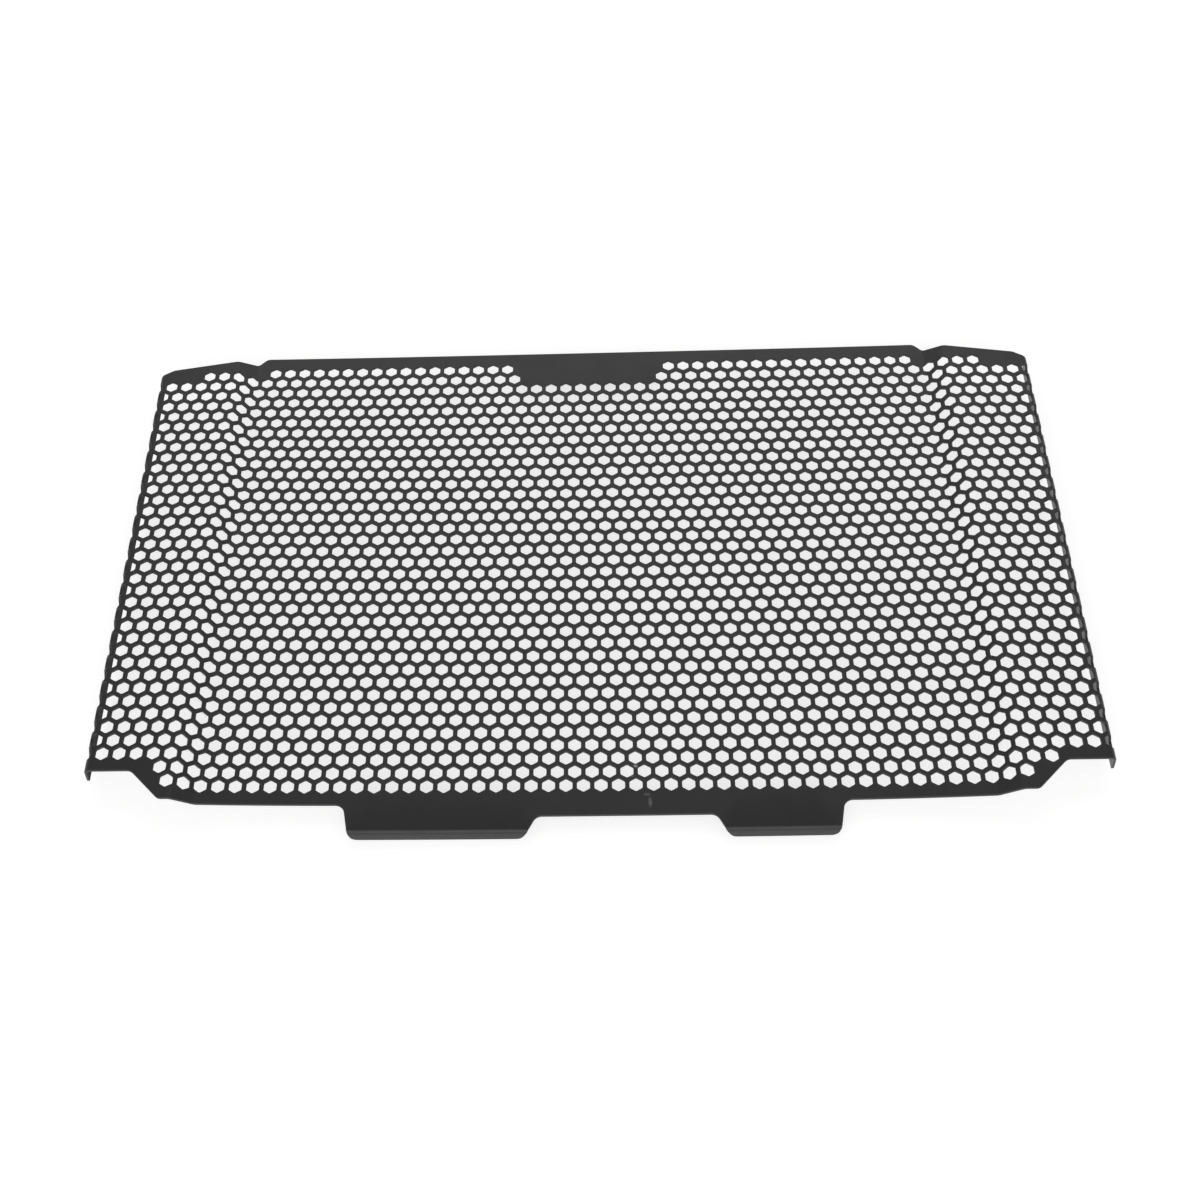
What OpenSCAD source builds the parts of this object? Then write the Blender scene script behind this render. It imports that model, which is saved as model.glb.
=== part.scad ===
// Radiator guard for a motorcycle: one thin sheet with a hexagonal mesh, its sides curved and
// joggled up, with a flange folded down along each side and two lipped tabs on its lower edge.
// The lower edge lies towards the front, and the face that meets the wind is on top.

/* [Sheet] */
// Thickness of the sheet with its coating
sheet_t = 1; // [0.8:0.1:1.5]
// Height of the panel, from its lower edge to its upper edge
panel_h = 218.5; // [200:0.5:240]
// Width of the recessed panel between the joggles
panel_w = 295; // [292:1:320]
// Width of the raised strip on the left side, from the joggle to the flange
left_strip_w = 33.2; // [31:0.1:40]
// Width of the raised strip on the right side
right_strip_w = 34.3; // [31:0.1:40]
// Slope that the panel curves up to on each side, from level at the tabs' ends
dish_angle = 6.8; // [3:0.1:10]

/* [Joggles] */
// Height of the side strips above the panel
joggle_h = 5.4; // [3:0.1:8]
// Slope of the joggles
joggle_angle = 33; // [25:1:45]
// Inner radius of the joggles' folds
joggle_r = 3; // [1:0.5:4]

/* [Flanges] */
// Length of the flanges, from the strip's plane to their free edge
flange_len = 9.2; // [7:0.1:14]
// Angle that the flanges are folded through
flange_angle = 81; // [60:1:90]
// Inner radius of the flanges' folds
flange_r = 1.5; // [1:0.1:2.5]

/* [Upper edge] */
// Width of the upper edge's straight middle
crown_w = 288.4; // [260:0.2:290]
// Drop of the shoulder at each end of the upper edge
shoulder_drop = 4; // [2:0.2:6]
// Sideways run of the shoulder
shoulder_run = 3.8; // [2:0.2:6]
// Drop of the side strips' upper ends below the upper edge, at their outer corners
strip_end_drop = 10.1; // [7:0.1:14]
// Sideways run of the cut corner next to the flange
corner_run = 5.2; // [3:0.1:7]
// Drop of the cut corner next to the flange
corner_drop = 3; // [1:0.1:6]

/* [Lower edge] */
// Height of the side strips' lower ends above the lower edge
strip_rise = 11.5; // [8:0.1:16]
// Distance of the slanted cut's upper end from the flange
slant_inset = 17.3; // [14:0.1:20]
// Sideways run of the slanted cut
slant_run = 11.8; // [9:0.1:13]
// Radius of the sheet's outer corners
corner_r = 3; // [1:0.5:4]
// Radius of the fillets in the sheet's inner corners
fillet_r = 3.5; // [1:0.5:4]

/* [Tabs] */
// Distance of each tab's outer end from the middle
tab_reach = 90.6; // [84:0.2:100]
// Width of the long tab at its fold
long_tab_w = 67.5; // [50:0.5:75]
// Width of the short tab at its fold
short_tab_w = 42.8; // [30:0.2:60]
// Distance of the tabs' folds below the lower edge
tab_drop = 9.3; // [7.5:0.1:14]
// Distance of the edge between the tabs below the lower edge
middle_drop = 4.9; // [2:0.1:6]
// Sideways slope of the tabs' outer ends
tab_outer_slope = 11; // [0:1:30]
// Sideways slope of the tabs' inner ends
tab_inner_slope = 28; // [0:1:40]
// Length of the straight part of the lips
lip_len = 4; // [3:0.1:10]
// Angle that the lips are folded through
lip_angle = 85; // [60:1:90]
// Inner radius of the lips' folds
lip_r = 1; // [0.5:0.1:2]
// Radius of the lips' lower corners
lip_corner_r = 3; // [1:0.5:3]

/* [Mesh] */
// Distance between neighbouring holes as they are punched
hole_pitch = 6.5; // [5.5:0.1:8]
// Width of a hole across its flats as it is punched
hole_w = 4.84; // [3.6:0.02:5.2]
// How much coarser the mesh is drawn than it is punched, with about 2100 holes at 1
mesh_scale = 2.4; // [2:0.1:5]
// Width of the plain border between the holes and the edges
border_w = 3.7; // [2:0.1:8]
// Width of the plain patch in the middle of the upper edge
patch_w = 60; // [30:1:100]
// Height of the plain patch
patch_h = 16.8; // [8:0.1:30]

/* [Hidden] */
$fn = 48;
coat = [0.2, 0.2, 0.21];
// Chords in the arc of a fold
fold_steps = 4;
// Length by which a lip's flat runs back into its tab
lip_lap = 1.5;
// Extra length for shapes that cut or that are cut back
over = 20;

// Length along the slope of a joggle, and its sideways run
slope_len = joggle_h / sin(joggle_angle);
slope_run = joggle_h / tan(joggle_angle);
// Where the strips end at the flanges, seen from above
left_x = panel_w / 2 + slope_run + left_strip_w;
right_x = panel_w / 2 + slope_run + right_strip_w;

// Length that a fold takes from the flat on each side of it
function setback(angle, inner_r) = (inner_r + sheet_t / 2) * tan(abs(angle) / 2);
foot_back = setback(joggle_angle - dish_angle, joggle_r);
crest_back = setback(joggle_angle, joggle_r);
flange_back = setback(flange_angle, flange_r);

// The panel is flat between the tabs' outer ends, and curves up evenly from there to the
// foot of the joggles
flat_x = tab_reach + tab_drop * tan(tab_outer_slope) + lip_lap;
dish_run = panel_w / 2 - foot_back * cos(dish_angle) - flat_x;
dish_r = dish_run / sin(dish_angle) - sheet_t / 2;

// Folds of one half of the guard, from its middle outwards, and folds of a tab, from inside
// its fold line: the flat length before each fold, its angle and its inner radius. The last
// entry has no fold and ends the sheet
function half_folds(strip_w) = [
    [flat_x, dish_angle, dish_r],
    [0, joggle_angle - dish_angle, joggle_r],
    [slope_len - foot_back - crest_back, -joggle_angle, joggle_r],
    [strip_w - crest_back - flange_back, -flange_angle, flange_r],
    [flange_len - flange_back, 0, 0],
];
tab_folds = [[lip_lap, -lip_angle, lip_r], [lip_len, 0, 0]];

// One face of the folded section, as points: side is 1 for the upper face and -1 for the
// lower one, and each fold is an arc of fold_steps chords
function face_points(folds, side, i = 0, at = [0, 0], heading = 0) =
    i == len(folds) ? [] :
    let (angle = folds[i][1],
         turn = angle < 0 ? -1 : 1,
         middle_r = folds[i][2] + sheet_t / 2,
         centre = at + folds[i][0] * [cos(heading), sin(heading)]
                  + turn * middle_r * [-sin(heading), cos(heading)],
         face_r = middle_r - turn * side * sheet_t / 2,
         steps = angle == 0 ? 0 : fold_steps,
         arc = [for (k = [0:steps]) let (a = heading + angle * k / fold_steps)
                   centre + turn * face_r * [sin(a), -cos(a)]],
         end = centre + turn * middle_r * [sin(heading + angle), -cos(heading + angle)])
    concat(arc, face_points(folds, side, i + 1, end, heading + angle));

function backwards(points) = [for (i = [len(points) - 1:-1:0]) points[i]];
function flipped(points) = [for (p = points) [-p.x, p.y]];

left_upper = face_points(half_folds(left_strip_w), 1);
left_lower = face_points(half_folds(left_strip_w), -1);
right_upper = face_points(half_folds(right_strip_w), 1);
right_lower = face_points(half_folds(right_strip_w), -1);
tab_upper = face_points(tab_folds, 1);
tab_lower = face_points(tab_folds, -1);

// How far the flanges and the lips reach below the panel's middle, and the lips forwards
flange_depth = -min([for (p = right_lower) p.y]);
lip_depth = -min([for (p = tab_lower) p.y]);
lip_reach = max([for (p = tab_upper) p.x]) - lip_lap;

// The origin lies under the middle of the guard, on what it rests on
low_z = -max(flange_depth, lip_depth);
middle_x = (right_strip_w - left_strip_w) / 2;
middle_y = (panel_h - tab_drop - lip_reach) / 2;

// Section across the guard
module cross_section() {
    polygon(concat(right_upper, backwards(right_lower),
                   flipped(left_lower), backwards(flipped(left_upper))));
}

// Section of a tab's fold and lip
module tab_section() {
    polygon(concat([[0, sheet_t / 2]], tab_upper, backwards(tab_lower), [[0, -sheet_t / 2]]));
}

// The section drawn out along the folds, from inside the lips' flats to past the upper edge
module folded_sheet() {
    translate([0, panel_h + over, 0]) rotate([90, 0, 0])
        linear_extrude(panel_h + over + tab_drop - lip_lap / 2) cross_section();
}

// Points of the sheet's outline down the right side, from the crown to the slanted cut, with
// the flange at flange_x. The left side's are the same, flipped
crown = crown_w / 2;
function side_points(flange_x) = [
    [crown, panel_h],
    [crown + shoulder_run, panel_h - shoulder_drop],
    [flange_x - corner_run, panel_h - strip_end_drop],
    [flange_x, panel_h - strip_end_drop - corner_drop],
    [flange_x + over, panel_h - strip_end_drop - corner_drop],
    [flange_x + over, strip_rise],
    [flange_x - slant_inset, strip_rise],
    [flange_x - slant_inset - slant_run, 0],
];

// Points of a tab on the right, from its outer to its inner end. Its sides run on past its fold
function tab_points(width) =
    let (end_y = -tab_drop - over,
         inner = tab_reach - width,
         tan_out = tan(tab_outer_slope),
         tan_in = tan(tab_inner_slope)) [
        [tab_reach + tab_drop * tan_out, 0],
        [tab_reach - over * tan_out, end_y],
        [inner + over * tan_in, end_y],
        [inner - (tab_drop - middle_drop) * tan_in, -middle_drop],
    ];

// The guard's outline seen from above, before its corners are rounded
outline_points = concat(
    side_points(right_x),
    tab_points(short_tab_w),
    backwards(flipped(tab_points(long_tab_w))),
    backwards(flipped(side_points(left_x)))
);

module outline() {
    offset(r = corner_r) offset(r = -corner_r - fillet_r) offset(delta = fillet_r)
        polygon(outline_points);
}

// Fold and lip at the end of a tab on the right, a little wider than the tab in its flat
module lip(width) {
    intersection() {
        translate([tab_reach + lip_lap, lip_lap - tab_drop, 0]) rotate([90, 0, -90])
            linear_extrude(width + 2 * lip_lap) tab_section();
        translate([0, over, 0]) rotate([90, 0, 0]) linear_extrude(3 * over) lip_front(width);
    }
}

// A lip seen from the front: its sides lean in like the tab's and its lower corners are round
module lip_front(width) {
    inner = tab_reach - width;
    lean_z = -sheet_t / 2 - lip_lap;
    function outer_x(z) = tab_reach + (z - lean_z) * tan(tab_outer_slope);
    function inner_x(z) = inner - (z - lean_z) * tan(tab_inner_slope);
    offset(r = lip_corner_r) offset(delta = -lip_corner_r)
        polygon([[outer_x(over), over], [outer_x(-lip_depth), -lip_depth],
                 [inner_x(-lip_depth), -lip_depth], [inner_x(over), over]]);
}

// Place seen from above of a point that lies the length s from the middle of the flat sheet
function from_above(s) =
    let (a = abs(s), on_slope = min(max(a - panel_w / 2, 0), slope_len))
        sign(s) * (a - on_slope * (1 - cos(joggle_angle)));

// The upper and lower edges at a distance x from the middle, as the mesh follows them
function edges_at(x) = side_points(x < 0 ? left_x : right_x);
function upper_edge(x) = lookup(abs(x), [for (i = [0:3]) edges_at(x)[i]]);
function lower_edge(x) = lookup(abs(x), [for (i = [7, 6]) edges_at(x)[i]]);

// The mesh as drawn: its pitch, the distance between its rows, and the size of a hole
pitch = hole_pitch * mesh_scale;
row_pitch = pitch * sin(60);
flats = hole_w * mesh_scale;
tip_r = flats / 2 / cos(30);
rows = floor((panel_h - 2 * (tip_r + border_w)) / row_pitch / 2) * 2;
first_y = (panel_h - rows * row_pitch) / 2;
function last_s(flange_x) = flange_x + slope_len - slope_run - flange_back - flats / 2;
columns = ceil(max(last_s(left_x), last_s(right_x)) / pitch);

// Holes keep off the flanges' folds, the border and the plain patch
function is_open(s, y) =
    let (x = from_above(s), edge = tip_r + border_w)
        -last_s(left_x) <= s && s <= last_s(right_x)
        && upper_edge(x) - y >= edge
        && y - lower_edge(x) >= edge
        && (abs(x) - flats / 2 >= patch_w / 2 || y + tip_r <= panel_h - patch_h);

// One hexagonal hole, points up and down, foreshortened where it lies on a slope
module hole(s, y) {
    polygon([for (a = [0:60:300]) [from_above(s + tip_r * sin(a)), y + tip_r * cos(a)]]);
}

module mesh_holes() {
    for (row = [0:rows]) {
        shift = row % 2 == 0 ? 0.5 : 0;
        y = first_y + row * row_pitch;
        for (column = [-columns:columns])
            if (is_open((column + shift) * pitch, y)) hole((column + shift) * pitch, y);
    }
}

module guard() {
    color(coat) translate([-middle_x, -middle_y, -low_z]) difference() {
        intersection() {
            union() {
                folded_sheet();
                lip(short_tab_w);
                mirror([1, 0, 0]) lip(long_tab_w);
            }
            translate([0, 0, -over]) linear_extrude(2 * over) outline();
        }
        translate([0, 0, -over]) linear_extrude(2 * over) mesh_holes();
    }
}

guard();
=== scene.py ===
"""Motorcycle radiator guard: one folded sheet with a punched hexagonal mesh, coated black."""
import math

import bpy
import numpy as np
from mathutils import Matrix, Vector
from mathutils.geometry import delaunay_2d_cdt


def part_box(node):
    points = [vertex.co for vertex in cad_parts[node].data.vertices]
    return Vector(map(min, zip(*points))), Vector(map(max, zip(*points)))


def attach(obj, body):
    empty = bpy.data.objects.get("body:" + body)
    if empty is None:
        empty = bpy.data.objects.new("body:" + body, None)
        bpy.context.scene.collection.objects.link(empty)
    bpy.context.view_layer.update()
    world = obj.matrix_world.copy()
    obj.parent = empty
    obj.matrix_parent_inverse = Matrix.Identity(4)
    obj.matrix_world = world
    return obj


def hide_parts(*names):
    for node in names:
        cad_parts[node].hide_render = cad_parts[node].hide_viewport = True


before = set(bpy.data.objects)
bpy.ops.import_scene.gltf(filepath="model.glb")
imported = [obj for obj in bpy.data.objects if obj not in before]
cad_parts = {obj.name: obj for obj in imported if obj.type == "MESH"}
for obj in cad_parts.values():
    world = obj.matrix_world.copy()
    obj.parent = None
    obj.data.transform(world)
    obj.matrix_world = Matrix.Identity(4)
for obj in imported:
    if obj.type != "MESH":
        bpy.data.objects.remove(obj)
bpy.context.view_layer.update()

MM = 0.001

# The sheet's sizes are in millimetres. On the flat sheet s runs across from its middle, and y
# runs up from the lower edge
SHEET_T = 1.0
PANEL_H = 218.5
PANEL_HALF = 147.5
LEFT_STRIP_W = 33.2
RIGHT_STRIP_W = 34.3
JOGGLE_H = 5.4
JOGGLE_ANGLE = math.radians(33)
JOGGLE_R = 3.0 + SHEET_T / 2
FLANGE_LEN = 9.2
FLANGE_ANGLE = math.radians(81)
FLANGE_R = 1.5 + SHEET_T / 2

# The upper and lower edges
CROWN_HALF = 144.2
SHOULDER_DROP = 4.0
SHOULDER_RUN = 3.8
STRIP_END_DROP = 10.1
CORNER_RUN = 5.2
CORNER_DROP = 3.0
STRIP_RISE = 11.5
SLANT_INSET = 17.3
SLANT_RUN = 11.8
CORNER_R = 3.0
FILLET_R = 3.5
FREE_CORNER_R = 1.2

# The tabs and their lips
TAB_REACH = 90.6
LONG_TAB_W = 67.5
SHORT_TAB_W = 42.8
TAB_DROP = 9.3
MIDDLE_DROP = 4.9
TAB_OUTER_SLOPE = math.radians(11)
TAB_INNER_SLOPE = math.radians(28)
LIP_LEN = 4.0
LIP_ANGLE = math.radians(85)
LIP_R = 1.0 + SHEET_T / 2
LIP_CORNER_R = 3.0

# The mesh
HOLE_PITCH = 6.5
ROW_PITCH = HOLE_PITCH * math.sin(math.radians(60))
HOLE_W = 4.84
TIP_R = HOLE_W / 2 / math.cos(math.radians(30))
TIP_CUT = 0.28
FIRST_ROW_Y = 7.4
ROWS = 37
LAST_COLUMN = 29.5
BORDER_W = 3.7
PATCH_HALF = 30.0
PATCH_H = 16.8

# How far the panel's middle lies below the feet of its joggles: near the lower edge, at half
# its height and near the upper edge, with the share of the curve that is a plain parabola
DISH_LOWER = 3.24
DISH_MIDDLE = 3.59
DISH_UPPER = 0.54
DISH_SPAN = 101.4
DISH_CENTRE_Y = 108.95
DISH_ROUND = 0.4

# How finely the sheet is modelled, and how wide its soft rims are
EDGE_STEP = 4.0
ARC_STEP = math.radians(12)
FOLD_STEPS = 4
FLANGE_STEPS = 8
HOLE_RIM = 0.14
EDGE_RIM = 0.25
MERGE = 0.0005
SHARP_FROM = math.radians(40)
STRAIGHT = 1e-9

# The coat's worn places, on the lower border and the webs next to it: where each one is and its
# half sizes, in metres, and how strong it is
SCUFFS = (
    ((0.0207, -0.1034, 0.0049), (0.0011, 0.0029, 0.0020), 0.8),
    ((0.0197, -0.1002, 0.0049), (0.0020, 0.0008, 0.0020), 0.7),
    ((0.0157, -0.0885, 0.0049), (0.0011, 0.0009, 0.0020), 3.0),
    ((0.0139, -0.0926, 0.0049), (0.0019, 0.0007, 0.0020), 0.9),
)
SCUFF_COLOR = (0.30, 0.30, 0.30, 1)

# The side that is rougher, because it got less of the coat, and how much rougher it gets as a face
# turns that way: the underside and the inner face of the left flange
DRY_SIDE = (0.5, 0, -0.87)
DRY_ROUGHNESS = ((0.42, 0.0), (0.58, 0.5))

# What varies over the coat, each as a noise's scale and detail, and the levels that it runs between
TINT_NOISE = (90, 4)
TINTS = ((0.3, (0.0100, 0.0100, 0.0104)), (0.7, (0.0130, 0.0130, 0.0134)))
ROUGH_NOISE = (130, 5)
ROUGHNESS = ((0.3, 0.40), (0.7, 0.46))
SCUFF_NOISE = (2000, 3)
SCUFF_BREAKS = ((0.35, 0.1), (0.55, 1.0))

# The coat's relief: a noise's scale and detail, its strength, and its depth in millimetres
GRAIN = (2600, 2, 0.35, 0.05)
ORANGE_PEEL = (750, 3, 0.5, 0.08)

# The floor and the light, in metres and watts. The floor lights the guard by FLOOR_COLOR, while the
# camera and reflections see FLOOR_SHADED with an even glow, which together come out white
FLOOR_HALF = 0.9
FLOOR_COLOR = (0.8, 0.8, 0.8, 1)
FLOOR_SHADED = (0.47, 0.47, 0.46, 1)
FLOOR_LIFT = 0.71
WHITE = (1, 1, 1, 1)
SKY = ((0.0, (0.98, 0.99, 1.10)), (0.3, (0.50, 0.50, 0.51)), (1.0, (0.33, 0.33, 0.33)))
LAMP_SIZE = 1.4
LAMPS = (
    ("back_lamp", Vector((0.05, 1.1, 0.9)), 5.0),
    ("front_lamp", Vector((-0.1, -1.3, 0.8)), 11.0),
)

# The camera, in metres, and its lens and sensor, in millimetres
CAMERA_AT = Vector((0.00521, -0.32937, 0.49755))
LOOK_DOWN = math.radians(57.286)
LOOK_TURN = math.radians(4.039)
ROLL = math.radians(-4.363)
LENS = 43.63
SENSOR_W = 36.0
SHIFT_X = 0.0423
CLIP_START = 0.01


def setback(angle, radius):
    """Length that a fold takes from the flat on each side of it."""
    return radius * math.tan(angle / 2)


# What the folds take from the flat sheet
SLOPE_LEN = JOGGLE_H / math.sin(JOGGLE_ANGLE)
SLOPE_RUN = JOGGLE_H / math.tan(JOGGLE_ANGLE)
FOOT_BACK = setback(JOGGLE_ANGLE, JOGGLE_R)
FLANGE_BACK = setback(FLANGE_ANGLE, FLANGE_R)
FOOT_S = PANEL_HALF - FOOT_BACK
LIP_ARC = LIP_R * LIP_ANGLE
LIP_END_Y = -TAB_DROP - LIP_ARC - LIP_LEN

# Where the flat sheet's lower edge, its middle and the strips' middle plane lie in the frame
guard_high = np.array(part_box("guard")[1]) / MM
PANEL_X = (LEFT_STRIP_W - RIGHT_STRIP_W) / 2
PANEL_Y = guard_high[1] - PANEL_H
STRIP_Z = guard_high[2] - SHEET_T / 2

# The runs of each side's section are the joggle's lower fold, its slope and its upper fold, the
# strip, the flange's fold and the flange: how many make the joggle, and which are folds, with the
# steps that each fold is divided into
JOGGLE_RUNS = 3
FOLD_RUNS = ((0, FOLD_STEPS), (2, FOLD_STEPS), (4, FLANGE_STEPS))

# Which of a side's corners make the upper edge, and which the lower one
UPPER_CORNERS = slice(0, 4)
LOWER_CORNERS = slice(6, 8)


def side_runs(strip_w):
    """Start, length and end slope of each run of the section, from the joggle's foot outwards."""
    start, runs = FOOT_S, []
    for length, slope in (
        (JOGGLE_R * JOGGLE_ANGLE, JOGGLE_ANGLE),
        (SLOPE_LEN - 2 * FOOT_BACK, JOGGLE_ANGLE),
        (JOGGLE_R * JOGGLE_ANGLE, 0.0),
        (strip_w - FOOT_BACK - FLANGE_BACK, 0.0),
        (FLANGE_R * FLANGE_ANGLE, -FLANGE_ANGLE),
        (FLANGE_LEN - FLANGE_BACK, -FLANGE_ANGLE),
    ):
        runs.append((start, length, slope))
        start = start + length
    return runs


def flat_s(x):
    """Length along the flat sheet of a point that is x from the middle, seen from above."""
    on_slope = min(max(x - PANEL_HALF, 0), SLOPE_RUN)
    return x + on_slope * (1 / math.cos(JOGGLE_ANGLE) - 1)


def side_corners(strip_w):
    """Corners of the flat outline down the right side, each with its rounding."""
    top, flange_x = PANEL_H, PANEL_HALF + SLOPE_RUN + strip_w
    end_y = top - STRIP_END_DROP - CORNER_DROP
    flange_start, flange_len, _ = side_runs(strip_w)[-1]
    end = flange_start + flange_len
    return [
        (CROWN_HALF, top, CORNER_R),
        (flat_s(CROWN_HALF + SHOULDER_RUN), top - SHOULDER_DROP, CORNER_R),
        (flat_s(flange_x - CORNER_RUN), top - STRIP_END_DROP, CORNER_R),
        (flat_s(flange_x), end_y, FILLET_R),
        (end, end_y, FREE_CORNER_R),
        (end, STRIP_RISE, FREE_CORNER_R),
        (flat_s(flange_x - SLANT_INSET), STRIP_RISE, FILLET_R),
        (flat_s(flange_x - SLANT_INSET - SLANT_RUN), 0, CORNER_R),
    ]


def tab_corners(width):
    """Corners of a tab on the right, unfolded, from its outer to its inner end."""
    inner = TAB_REACH - width
    tan_out, tan_in = math.tan(TAB_OUTER_SLOPE), math.tan(TAB_INNER_SLOPE)
    past_fold = -TAB_DROP - LIP_END_Y
    return [
        (TAB_REACH + TAB_DROP * tan_out, 0, FILLET_R),
        (TAB_REACH - past_fold * tan_out, LIP_END_Y, LIP_CORNER_R),
        (inner + past_fold * tan_in, LIP_END_Y, LIP_CORNER_R),
        (inner - (TAB_DROP - MIDDLE_DROP) * tan_in, -MIDDLE_DROP, FILLET_R),
    ]


def mirrored(corners):
    """The same corners on the left, in the order that goes on round the outline."""
    return [(-s, y, radius) for s, y, radius in reversed(corners)]


def rounded(corners):
    """Points of a closed outline through its corners, each rounded by its own radius."""
    points = []
    for i, (s, y, radius) in enumerate(corners):
        here = Vector((s, y))
        back = (Vector(corners[i - 1][:2]) - here).normalized()
        onward = (Vector(corners[(i + 1) % len(corners)][:2]) - here).normalized()
        turn = math.pi - back.angle(onward)
        side = 1 if onward.cross(back) > 0 else -1
        centre = here + (back + onward).normalized() * radius / math.cos(turn / 2)
        start = here + back * radius * math.tan(turn / 2) - centre
        steps = max(2, round(turn / ARC_STEP))
        points += [centre + Matrix.Rotation(side * turn * k / steps, 2) @ start
                   for k in range(steps + 1)]
    return points


def divided(points, closed=False):
    """A line with points added so that no part of it is longer than EDGE_STEP."""
    finer = []
    ends = points[1:] + points[:1] if closed else points[1:]
    for a, b in zip(points, ends):
        steps = max(1, math.ceil((b - a).length / EDGE_STEP))
        finer += [a.lerp(b, k / steps) for k in range(steps)]
    return finer if closed else finer + [points[-1]]


def edge_height(x, corners):
    """Height of the upper or lower edge at a distance x from the middle."""
    corners = sorted(corners)
    return float(np.interp(abs(x), [c[0] for c in corners], [c[1] for c in corners]))


def open_holes():
    """Row and column of every hole of the mesh, which keeps off the border and the patch."""
    left, right = side_corners(LEFT_STRIP_W), side_corners(RIGHT_STRIP_W)
    found = []
    for row in range(ROWS):
        y = FIRST_ROW_Y + row * ROW_PITCH
        first = -LAST_COLUMN if row % 2 == 0 else 1 - math.ceil(LAST_COLUMN)
        for k in range(2 * math.ceil(LAST_COLUMN)):
            column = first + k
            s = column * HOLE_PITCH
            corners = left if s < 0 else right
            clear = (edge_height(s, corners[UPPER_CORNERS]) - y >= TIP_R + BORDER_W
                     and y - edge_height(s, corners[LOWER_CORNERS]) >= TIP_R + BORDER_W)
            off_patch = abs(s) - HOLE_W / 2 >= PATCH_HALF or y + TIP_R <= PANEL_H - PATCH_H
            if abs(column) <= LAST_COLUMN and clear and off_patch:
                found.append((row, column))
    return found


def hole_points(row, column):
    """The outline of one hole, points up and down, with its corners a little blunt."""
    centre = Vector((column * HOLE_PITCH, FIRST_ROW_Y + row * ROW_PITCH))
    tips = [Matrix.Rotation(math.radians(60 * k), 2) @ Vector((0, TIP_R)) for k in range(6)]
    points = []
    for k, tip in enumerate(tips):
        for other in (tips[k - 1], tips[(k + 1) % 6]):
            points.append(centre + tip + (other - tip).normalized() * TIP_CUT)
    return points


def fold_lines():
    """Lines along which the flat sheet is divided, so that its folds come out round."""
    lines = []
    for side, strip_w in ((-1, LEFT_STRIP_W), (1, RIGHT_STRIP_W)):
        runs = side_runs(strip_w)
        for run, steps in FOLD_RUNS:
            start, length, _ = runs[run]
            for k in range(steps + 1):
                s = side * (start + length * k / steps)
                lines.append([Vector((s, LIP_END_Y)), Vector((s, PANEL_H))])
    for k in range(FOLD_STEPS + 1):
        y = -TAB_DROP - LIP_ARC * k / FOLD_STEPS
        lines.append([Vector((side * (TAB_REACH + EDGE_STEP), y)) for side in (-1, 1)])
    return lines


def inside_outline(points, outline):
    """Which points lie inside a closed outline."""
    inside = np.zeros(len(points), bool)
    for a, b in zip(outline, outline[1:] + outline[:1]):
        if a.y == b.y:
            continue
        crosses = (a.y > points[:, 1]) != (b.y > points[:, 1])
        at = a.x + (points[:, 1] - a.y) * (b.x - a.x) / (b.y - a.y)
        inside ^= crosses & (points[:, 0] < at)
    return inside


def inside_holes(points, holes):
    """Which points lie inside one of the holes."""
    key = {(row, round(2 * column)) for row, column in holes}
    inside = np.zeros(len(points), bool)
    turns = [math.radians(60 * k) for k in range(3)]
    flats = [np.array((math.cos(turn), math.sin(turn))) for turn in turns]
    tips = [np.array((math.sin(turn), math.cos(turn))) for turn in turns]
    below = np.floor((points[:, 1] - FIRST_ROW_Y) / ROW_PITCH)
    for row in (below, below + 1):
        shift = np.where(row % 2 == 0, 0.5, 0.0)
        column = np.round(points[:, 0] / HOLE_PITCH - shift) + shift
        off = points - np.stack((column * HOLE_PITCH, FIRST_ROW_Y + row * ROW_PITCH), 1)
        near = np.max([np.abs(off @ d) for d in flats], 0) < HOLE_W / 2
        near &= np.max([np.abs(off @ d) for d in tips], 0) < TIP_R - TIP_CUT / 2
        inside |= near & np.array([(int(r), round(2 * c)) in key for r, c in zip(row, column)])
    return inside


def flat_mesh():
    """Points and triangles of the flat sheet, with its holes left out."""
    corners = (side_corners(RIGHT_STRIP_W) + tab_corners(SHORT_TAB_W)
               + mirrored(tab_corners(LONG_TAB_W)) + mirrored(side_corners(LEFT_STRIP_W)))
    outline = divided(rounded(corners), closed=True)
    holes = open_holes()
    loops = [outline] + [hole_points(*hole) for hole in holes]
    lines = [divided(line) for line in fold_lines()]
    points, edges = [], []
    for path in loops + lines:
        first, count = len(points), len(path)
        points += path
        edges += [(first + k, first + k + 1) for k in range(count - 1)]
    start = 0
    for loop in loops:
        edges.append((start + len(loop) - 1, start))
        start += len(loop)
    points, _, triangles, *_ = delaunay_2d_cdt(points, edges, [], 0, MERGE)
    points, triangles = np.array([p[:] for p in points]), np.array(triangles)
    middles = points[triangles].mean(1)
    kept = triangles[inside_outline(middles, outline) & ~inside_holes(middles, holes)]
    used, kept = np.unique(kept, return_inverse=True)
    return points[used], kept.reshape(-1, 3)


def boundary(triangles):
    """The edges that only one triangle has, each with the sheet on its left."""
    edges = {(int(t[k]), int(t[(k + 1) % 3])) for t in triangles for k in range(3)}
    return np.array([(a, b) for a, b in sorted(edges) if (b, a) not in edges])


def inward(points, rim):
    """For each point on the rim, the step into the sheet that moves both its edges by one unit."""
    along = points[rim[:, 1]] - points[rim[:, 0]]
    normal = np.stack((-along[:, 1], along[:, 0]), 1) / np.linalg.norm(along, axis=1)[:, None]
    total = np.zeros_like(points)
    np.add.at(total, rim[:, 0], normal)
    np.add.at(total, rim[:, 1], normal)
    square = (total**2).sum(1)[:, None]
    on_rim = square > 0.5
    return np.divide(2 * total, square, out=np.zeros_like(total), where=on_rim)


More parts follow.
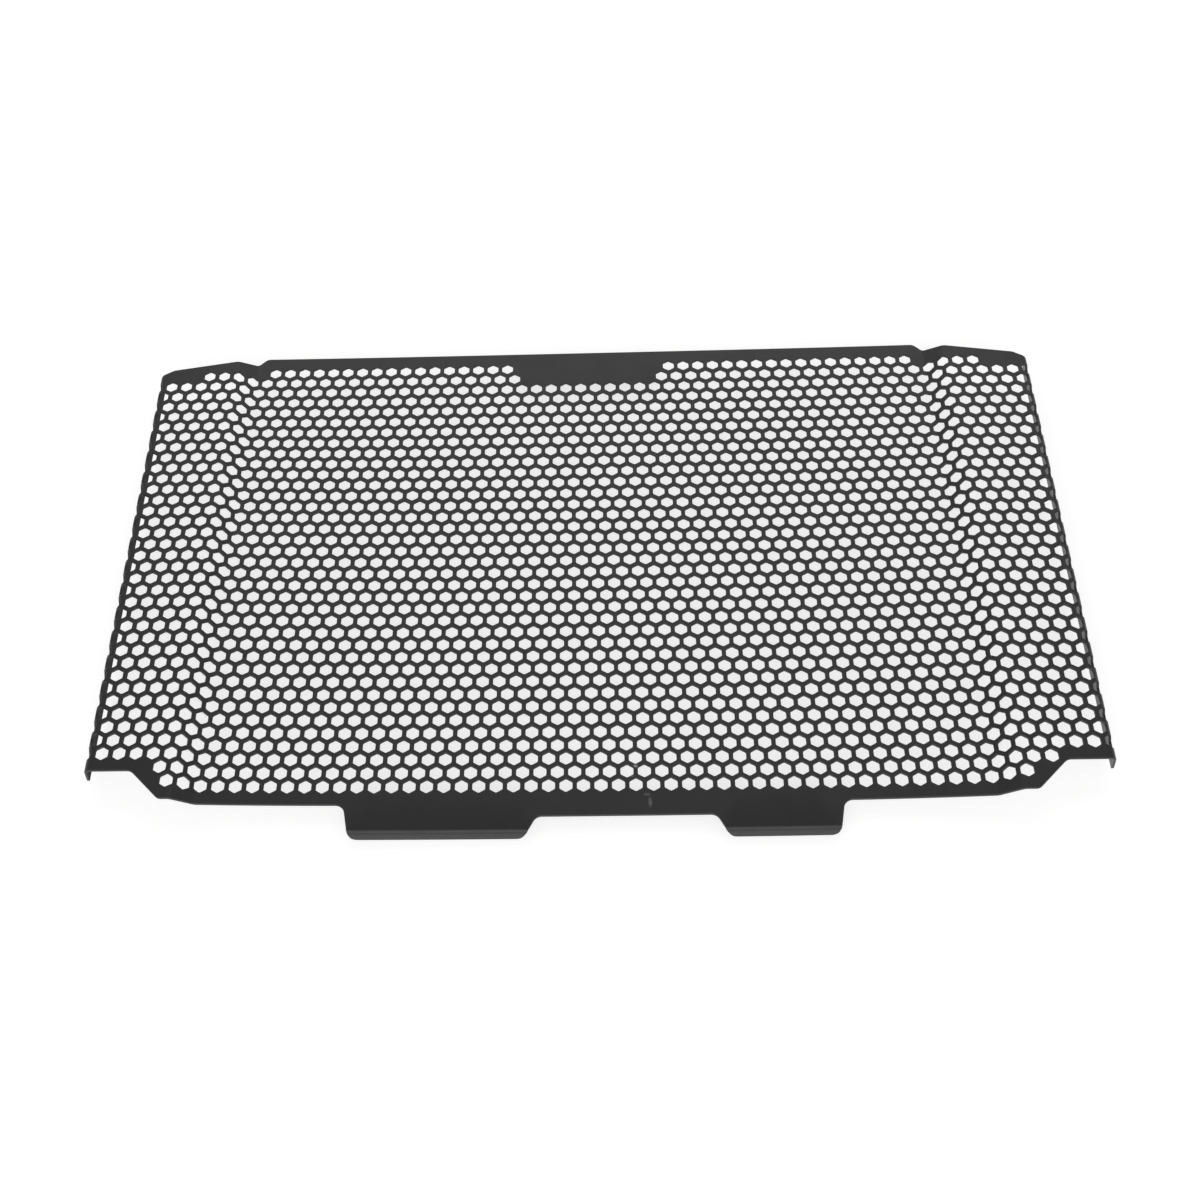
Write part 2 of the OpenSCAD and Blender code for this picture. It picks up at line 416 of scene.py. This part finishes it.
def advance(distance, length, start, end):
    """Sideways and upward steps, and the turn, after a distance into a run of the section."""
    distance = np.clip(distance, 0, length)
    bend = (end - start) / length
    curved = np.abs(bend) > STRAIGHT
    safe = np.where(curved, bend, 1.0)
    heading = start + bend * distance
    across = np.where(curved, (np.sin(heading) - np.sin(start)) / safe, distance * np.cos(start))
    up = np.where(curved, (np.cos(start) - np.cos(heading)) / safe, distance * np.sin(start))
    return across, up, bend * distance


def dish_depth(y):
    """How far the panel's middle lies below the feet of its joggles at height y."""
    v = np.clip((y - DISH_CENTRE_Y) / DISH_SPAN, -1, 1)
    tilt = (DISH_UPPER - DISH_LOWER) / 2
    bow = (DISH_UPPER + DISH_LOWER) / 2 - DISH_MIDDLE
    return DISH_MIDDLE + tilt * v + bow * v**2


def dish_curve(t):
    """Height and slope of the dish's curve, for a depth of 1, at the share t of its half width."""
    curve = DISH_ROUND * t**2 + (1 - DISH_ROUND) * t**4
    slope = 2 * DISH_ROUND * t + 4 * (1 - DISH_ROUND) * t**3
    return curve, slope


def folded(points):
    """Places on the folded sheet's middle surface, and the directions that its upper face looks."""
    s, y = points[:, 0], np.maximum(points[:, 1], -TAB_DROP)
    side, reach, depth = np.sign(s), np.abs(s), dish_depth(y)
    x = np.minimum(reach, FOOT_S)
    curve, slope = dish_curve(x / PANEL_HALF)
    foot_curve, foot_slope = dish_curve(FOOT_S / PANEL_HALF)
    z = depth * (curve - foot_curve)
    heading = np.arctan(depth * slope / PANEL_HALF)
    start = np.arctan(depth * foot_slope / PANEL_HALF)
    rise = np.zeros_like(z)
    strip_w = np.where(side < 0, LEFT_STRIP_W, RIGHT_STRIP_W)
    for i, (first, length, end) in enumerate(side_runs(strip_w)):
        across, up, turn = advance(reach - first, length, start, end)
        x, z, heading = x + across, z + up, heading + turn
        if i < JOGGLE_RUNS:
            rise += advance(length, length, start, end)[1]
        start = end
    z += STRIP_Z - rise
    past = np.maximum(-TAB_DROP - points[:, 1], 0)
    forward, drop, tilt = advance(past, LIP_ARC, 0.0, -LIP_ANGLE)
    straight = np.maximum(past - LIP_ARC, 0)
    forward = forward + straight * math.cos(LIP_ANGLE)
    drop = drop - straight * math.sin(LIP_ANGLE)
    place = np.stack((PANEL_X + side * x, y + PANEL_Y - forward, z + drop), 1)
    facing = np.stack((-side * np.sin(heading), np.sin(tilt), np.cos(heading) * np.cos(tilt)), 1)
    return place, facing / np.linalg.norm(facing, axis=1)[:, None]


def punched_sheet():
    """The whole guard as one closed mesh: both faces, the walls of its cuts and soft upper rims."""
    flat, triangles = flat_mesh()
    rim = boundary(triangles)
    step = inward(flat, rim)
    at_hole = inside_holes(flat - step * HOLE_RIM, open_holes())
    width = np.where(at_hole, HOLE_RIM, EDGE_RIM)[:, None]
    on_rim = np.unique(rim)
    rim_place = np.zeros(len(flat), int)
    rim_place[on_rim] = np.arange(len(on_rim))
    place, facing = folded(flat)
    lower = place - facing * SHEET_T / 2
    wall = (place + facing * (SHEET_T / 2 - width))[on_rim]
    top_place, top_facing = folded(flat + step * width)
    upper = top_place + top_facing * SHEET_T / 2
    upper_first, wall_first = len(flat), 2 * len(flat)
    a, b = rim[:, 0], rim[:, 1]
    wall_a, wall_b = wall_first + rim_place[a], wall_first + rim_place[b]
    faces = triangles[:, ::-1].tolist() + (triangles + upper_first).tolist()
    faces += np.stack((a, b, wall_b, wall_a), 1).tolist()
    faces += np.stack((wall_a, wall_b, b + upper_first, a + upper_first), 1).tolist()
    mesh = bpy.data.meshes.new("punched_sheet")
    mesh.from_pydata(np.concatenate((lower, upper, wall)) * MM, [], faces)
    mesh.shade_smooth()
    mesh.set_sharp_from_angle(angle=SHARP_FROM)
    piece = bpy.data.objects.new("punched_sheet", mesh)
    bpy.context.collection.objects.link(piece)
    return piece


def new_material(name):
    """A material with an empty node tree, its nodes and its output."""
    material = bpy.data.materials.new(name)
    material.use_nodes = True
    nodes = material.node_tree.nodes
    nodes.clear()
    return material, nodes, nodes.new("ShaderNodeOutputMaterial")


def color_ramp(nodes, link, source, stops):
    """Colour that runs through the stops as the source's value goes from 0 to 1."""
    node = nodes.new("ShaderNodeValToRGB")
    while len(node.color_ramp.elements) < len(stops):
        node.color_ramp.elements.new(0.5)
    for element, (position, level) in zip(node.color_ramp.elements, stops):
        element.position = position
        element.color = (*level, 1) if isinstance(level, tuple) else (level, level, level, 1)
    link(source, node.inputs["Fac"])
    return node.outputs["Color"]


def powder_coat():
    """Black powder coat: a fine orange peel, a little unevenness and a few light scuffs."""
    material, nodes, output = new_material("powder_coat")
    link = material.node_tree.links.new
    coordinates = nodes.new("ShaderNodeTexCoord")
    place = coordinates.outputs["Object"]

    def noise(scale, detail):
        """Noise that stays with the sheet, with this many waves to the metre."""
        node = nodes.new("ShaderNodeTexNoise")
        node.inputs["Scale"].default_value = scale
        node.inputs["Detail"].default_value = detail
        link(place, node.inputs["Vector"])
        return node.outputs["Fac"]

    def ramp(source, stops):
        """Levels that the source's value picks between the stops."""
        return color_ramp(nodes, link, source, stops)

    def relief(scale, detail, strength, depth, below=None):
        """Normal of a fine relief of the given depth in millimetres, laid over the one below."""
        node = nodes.new("ShaderNodeBump")
        node.inputs["Strength"].default_value = strength
        node.inputs["Distance"].default_value = depth * MM
        link(noise(scale, detail), node.inputs["Height"])
        if below:
            link(below, node.inputs["Normal"])
        return node.outputs["Normal"]

    def vector_math(operation, source, values=(0, 0, 0)):
        """The source put together with the values, or its length, as a vector or a number."""
        node = nodes.new("ShaderNodeVectorMath")
        node.operation = operation
        node.inputs[1].default_value = values
        link(source, node.inputs[0])
        return node.outputs["Vector" if operation in ("SUBTRACT", "DIVIDE") else "Value"]

    def spot(centre, half_sizes, strength):
        """The strength at the centre of an ellipsoid, and 0 on it and outside it."""
        away = vector_math("DIVIDE", vector_math("SUBTRACT", place, centre), half_sizes)
        near = nodes.new("ShaderNodeMapRange")
        near.inputs["To Min"].default_value = strength
        near.inputs["To Max"].default_value = 0
        link(vector_math("LENGTH", away), near.inputs["Value"])
        return near.outputs["Result"]

    def combined(operation, a, b):
        """Two numbers put together."""
        node = nodes.new("ShaderNodeMath")
        node.operation = operation
        link(a, node.inputs[0])
        link(b, node.inputs[1])
        return node.outputs["Value"]

    coat = nodes.new("ShaderNodeBsdfPrincipled")
    tint = ramp(noise(*TINT_NOISE), TINTS)
    scuffs = [spot(*scuff) for scuff in SCUFFS]
    scuffed = scuffs[0]
    for scuff in scuffs[1:]:
        scuffed = combined("MAXIMUM", scuffed, scuff)
    scuffed = combined("MULTIPLY", scuffed, ramp(noise(*SCUFF_NOISE), SCUFF_BREAKS))
    worn = nodes.new("ShaderNodeMixRGB")
    worn.inputs["Color2"].default_value = SCUFF_COLOR
    link(scuffed, worn.inputs["Fac"])
    link(tint, worn.inputs["Color1"])
    link(worn.outputs["Color"], coat.inputs["Base Color"])
    rough = ramp(noise(*ROUGH_NOISE), ROUGHNESS)
    dry = vector_math("DOT_PRODUCT", coordinates.outputs["Normal"], DRY_SIDE)
    link(combined("ADD", rough, ramp(dry, DRY_ROUGHNESS)), coat.inputs["Roughness"])
    link(relief(*ORANGE_PEEL, below=relief(*GRAIN)), coat.inputs["Normal"])
    link(coat.outputs["BSDF"], output.inputs["Surface"])
    return material


def white_ground():
    """Pale floor that keeps the guard's shadow and turns white where nothing shades it."""
    material, nodes, output = new_material("white_ground")
    link = material.node_tree.links.new
    floor = nodes.new("ShaderNodeBsdfDiffuse")
    floor.inputs["Color"].default_value = FLOOR_COLOR
    shaded = nodes.new("ShaderNodeBsdfDiffuse")
    shaded.inputs["Color"].default_value = FLOOR_SHADED
    lift = nodes.new("ShaderNodeEmission")
    lift.inputs["Strength"].default_value = FLOOR_LIFT
    both = nodes.new("ShaderNodeAddShader")
    link(shaded.outputs["BSDF"], both.inputs[0])
    link(lift.outputs["Emission"], both.inputs[1])
    rays = nodes.new("ShaderNodeLightPath")
    looked_at = nodes.new("ShaderNodeMath")
    looked_at.operation = "MAXIMUM"
    link(rays.outputs["Is Camera Ray"], looked_at.inputs[0])
    link(rays.outputs["Is Glossy Ray"], looked_at.inputs[1])
    mix = nodes.new("ShaderNodeMixShader")
    link(looked_at.outputs["Value"], mix.inputs["Fac"])
    link(floor.outputs["BSDF"], mix.inputs[1])
    link(both.outputs["Shader"], mix.inputs[2])
    link(mix.outputs["Shader"], output.inputs["Surface"])
    return material


def add_floor():
    """Square floor under the guard."""
    mesh = bpy.data.meshes.new("floor")
    corners = [(x * FLOOR_HALF, y * FLOOR_HALF, 0) for x, y in ((-1, -1), (1, -1), (1, 1), (-1, 1))]
    mesh.from_pydata(corners, [], [(0, 1, 2, 3)])
    mesh.materials.append(white_ground())
    floor = bpy.data.objects.new("floor", mesh)
    bpy.context.collection.objects.link(floor)


def add_light():
    """Soft sky that is brightest at the horizon, and large lamps behind and before the guard."""
    world = bpy.data.worlds.new("studio")
    bpy.context.scene.world = world
    world.use_nodes = True
    nodes, link = world.node_tree.nodes, world.node_tree.links.new
    nodes.clear()
    height = nodes.new("ShaderNodeSeparateXYZ")
    link(nodes.new("ShaderNodeTexCoord").outputs["Generated"], height.inputs["Vector"])
    sky = nodes.new("ShaderNodeBackground")
    link(color_ramp(nodes, link, height.outputs["Z"], SKY), sky.inputs["Color"])
    seen = nodes.new("ShaderNodeBackground")
    seen.inputs["Color"].default_value = WHITE
    mix = nodes.new("ShaderNodeMixShader")
    link(nodes.new("ShaderNodeLightPath").outputs["Is Camera Ray"], mix.inputs["Fac"])
    link(sky.outputs["Background"], mix.inputs[1])
    link(seen.outputs["Background"], mix.inputs[2])
    link(mix.outputs["Shader"], nodes.new("ShaderNodeOutputWorld").inputs["Surface"])
    for name, place, power in LAMPS:
        lamp = bpy.data.lights.new(name, "AREA")
        lamp.size = LAMP_SIZE
        lamp.energy = power
        holder = bpy.data.objects.new(name, lamp)
        holder.location = place
        holder.rotation_euler = (-place).to_track_quat("-Z", "Y").to_euler()
        bpy.context.collection.objects.link(holder)


def add_camera():
    """The photograph's view: from the front and well above, with a small roll."""
    camera = bpy.data.cameras.new("camera")
    camera.lens = LENS
    camera.sensor_width = SENSOR_W
    camera.shift_x = SHIFT_X
    camera.clip_start = CLIP_START
    holder = bpy.data.objects.new("camera", camera)
    turn = Matrix.Rotation(LOOK_TURN, 4, "Z") @ Matrix.Rotation(math.pi / 2 - LOOK_DOWN, 4, "X")
    holder.matrix_world = Matrix.Translation(CAMERA_AT) @ turn @ Matrix.Rotation(ROLL, 4, "Z")
    bpy.context.collection.objects.link(holder)
    bpy.context.scene.camera = holder


sheet = punched_sheet()
sheet.data.materials.append(powder_coat())
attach(sheet, "root")
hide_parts("guard")
add_floor()
add_light()
add_camera()
bpy.context.scene.view_settings.view_transform = "Standard"
